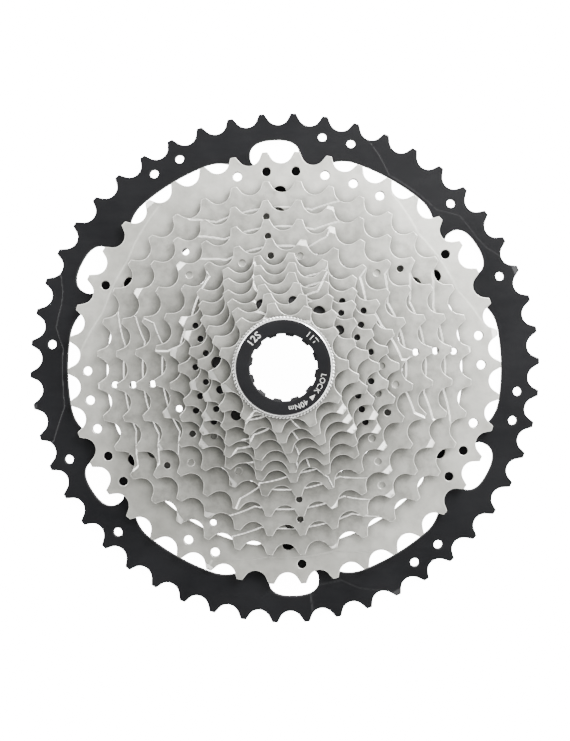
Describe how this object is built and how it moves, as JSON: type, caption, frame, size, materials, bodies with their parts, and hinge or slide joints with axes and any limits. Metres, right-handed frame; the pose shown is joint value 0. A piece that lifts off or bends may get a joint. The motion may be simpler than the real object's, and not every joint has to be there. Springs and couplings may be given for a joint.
{
  "type": "cassette sprocket",
  "caption": "Bicycle rear cassette: a cone of graded toothed sprockets on a splined bore, the largest black, held by a screwed lockring.",
  "frame": {"origin": "on the spin axis, at the back face of the 50-tooth sprocket, which the part lies on", "axes": "+Z along the spin axis, from the 50-tooth sprocket towards the lockring; +X and +Y are the right and the top of the front view"},
  "size_m": [0.2038, 0.2036, 0.0449],
  "materials": {
    "black_alloy": "black anodised, satin",
    "satin_nickel_steel": "bead-blasted steel with satin nickel plating",
    "spacer_alloy": "black anodised, matt",
    "black_nylon": "moulded black nylon",
    "bright_steel": "plain zinc-plated steel",
    "black_lockring": null
  },
  "bodies": {
    "cluster": {"sprocket_50t": "black_alloy", "sprocket_42t": "satin_nickel_steel", "sprocket_36t": "satin_nickel_steel", "sprocket_32t": "satin_nickel_steel", "sprocket_28t": "satin_nickel_steel", "sprocket_24t": "satin_nickel_steel", "spacer_50_42": "spacer_alloy", "spacer_42_36": "spacer_alloy", "spacer_36_32": "spacer_alloy", "spacer_32_28": "spacer_alloy", "spacer_28_24": "spacer_alloy", "rivet_1": "bright_steel", "rivet_2": "bright_steel", "rivet_3": "bright_steel", "rivet_4": "bright_steel", "rivet_5": "bright_steel", "rivet_6": "bright_steel"},
    "cog_21": {"sprocket_21t": "satin_nickel_steel", "spacer_24_21": "black_nylon"},
    "cog_19": {"sprocket_19t": "satin_nickel_steel", "spacer_21_19": "black_nylon"},
    "cog_17": {"sprocket_17t": "satin_nickel_steel", "spacer_19_17": "black_nylon"},
    "cog_15": {"sprocket_15t": "satin_nickel_steel", "spacer_17_15": "black_nylon"},
    "cog_13": {"sprocket_13t": "satin_nickel_steel"},
    "cog_11": {"sprocket_11t": "satin_nickel_steel"},
    "washer": {"lock_washer": "bright_steel"},
    "lockring": {"lockring": "black_lockring"}
  },
  "joints": [
    {"name": "cog_21_lift_off", "type": "slide", "parent": "cluster", "child": "cog_21", "axis": [0, 0, 1], "range_m": [0, 0.015]},
    {"name": "cog_19_lift_off", "type": "slide", "parent": "cog_21", "child": "cog_19", "axis": [0, 0, 1], "range_m": [0, 0.015]},
    {"name": "cog_17_lift_off", "type": "slide", "parent": "cog_19", "child": "cog_17", "axis": [0, 0, 1], "range_m": [0, 0.015]},
    {"name": "cog_15_lift_off", "type": "slide", "parent": "cog_17", "child": "cog_15", "axis": [0, 0, 1], "range_m": [0, 0.015]},
    {"name": "cog_13_lift_off", "type": "slide", "parent": "cog_15", "child": "cog_13", "axis": [0, 0, 1], "range_m": [0, 0.015]},
    {"name": "cog_11_lift_off", "type": "slide", "parent": "cog_13", "child": "cog_11", "axis": [0, 0, 1], "range_m": [0, 0.015]},
    {"name": "washer_lift", "type": "slide", "parent": "cog_11", "child": "washer", "axis": [0, 0, 1], "range_m": [0, 0.0053]},
    {"name": "lockring_turn", "type": "hinge", "parent": "washer", "child": "lockring", "pos_m": [0, 0, 0.0432], "axis": [0, 0, 1], "range_deg": [0, 1800]}
  ],
  "couplings": [
    {"joint": "washer_lift", "follows": "lockring_turn", "m_per_rad": 0.00016844}
  ]
}
